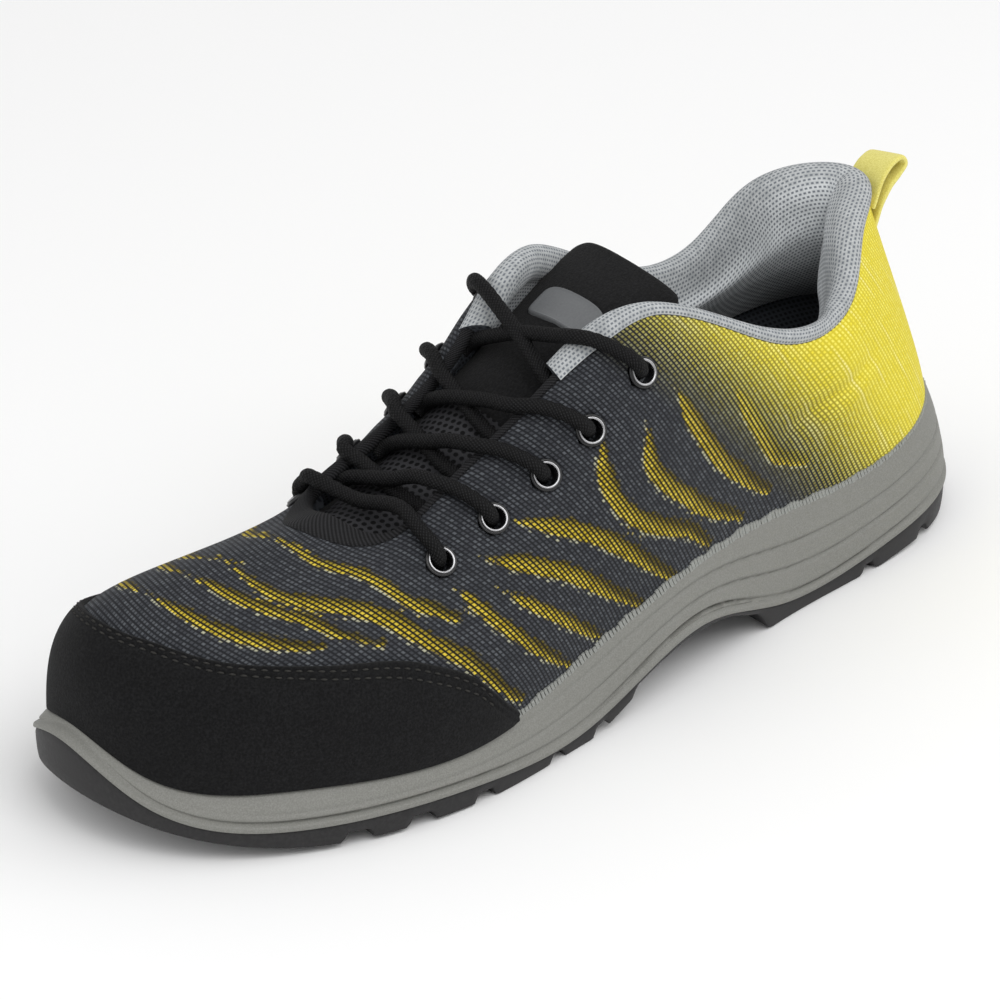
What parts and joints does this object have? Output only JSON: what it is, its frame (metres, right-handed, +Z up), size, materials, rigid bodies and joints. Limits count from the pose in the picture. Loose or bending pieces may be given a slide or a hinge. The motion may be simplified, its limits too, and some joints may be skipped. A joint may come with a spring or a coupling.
{
  "type": "safety shoe",
  "caption": "Low-cut left safety shoe: knitted upper, suede toe cap, padded collar, laced throat with metal eyelets, heel pull loop and a layered grey and black sole.",
  "frame": {"origin": "middle of the sole's outline, on the ground", "axes": "+X from heel to toe, +Y towards the outer side of the left foot, +Z up"},
  "size_m": [0.303, 0.1018, 0.1054],
  "materials": {
    "outsole_rubber": "matte moulded",
    "midsole_foam": "matte foamed",
    "insole_textile": "matte",
    "knit": "ribbed knit",
    "suede": "napped",
    "collar_mesh": "padded mesh",
    "tongue_textile": "padded mesh",
    "loop_webbing": "woven",
    "lace_cord": "braided",
    "eyelet_steel": "polished"
  },
  "bodies": {
    "root": {"outsole": "outsole_rubber", "midsole": "midsole_foam", "insole": "insole_textile", "upper": "knit", "toe_cap": "suede", "collar": "collar_mesh", "tongue": "tongue_textile", "pull_loop": "loop_webbing", "lace_bar": "lace_cord", "lace_cross_1": "lace_cord", "lace_cross_2": "lace_cord", "lace_cross_3": "lace_cord", "lace_cross_4": "lace_cord", "eyelet_lateral_1": "eyelet_steel", "eyelet_lateral_2": "eyelet_steel", "eyelet_lateral_3": "eyelet_steel", "eyelet_lateral_4": "eyelet_steel", "eyelet_lateral_5": "eyelet_steel", "eyelet_medial_1": "eyelet_steel", "eyelet_medial_2": "eyelet_steel", "eyelet_medial_3": "eyelet_steel", "eyelet_medial_4": "eyelet_steel", "eyelet_medial_5": "eyelet_steel"}
  },
  "joints": []
}
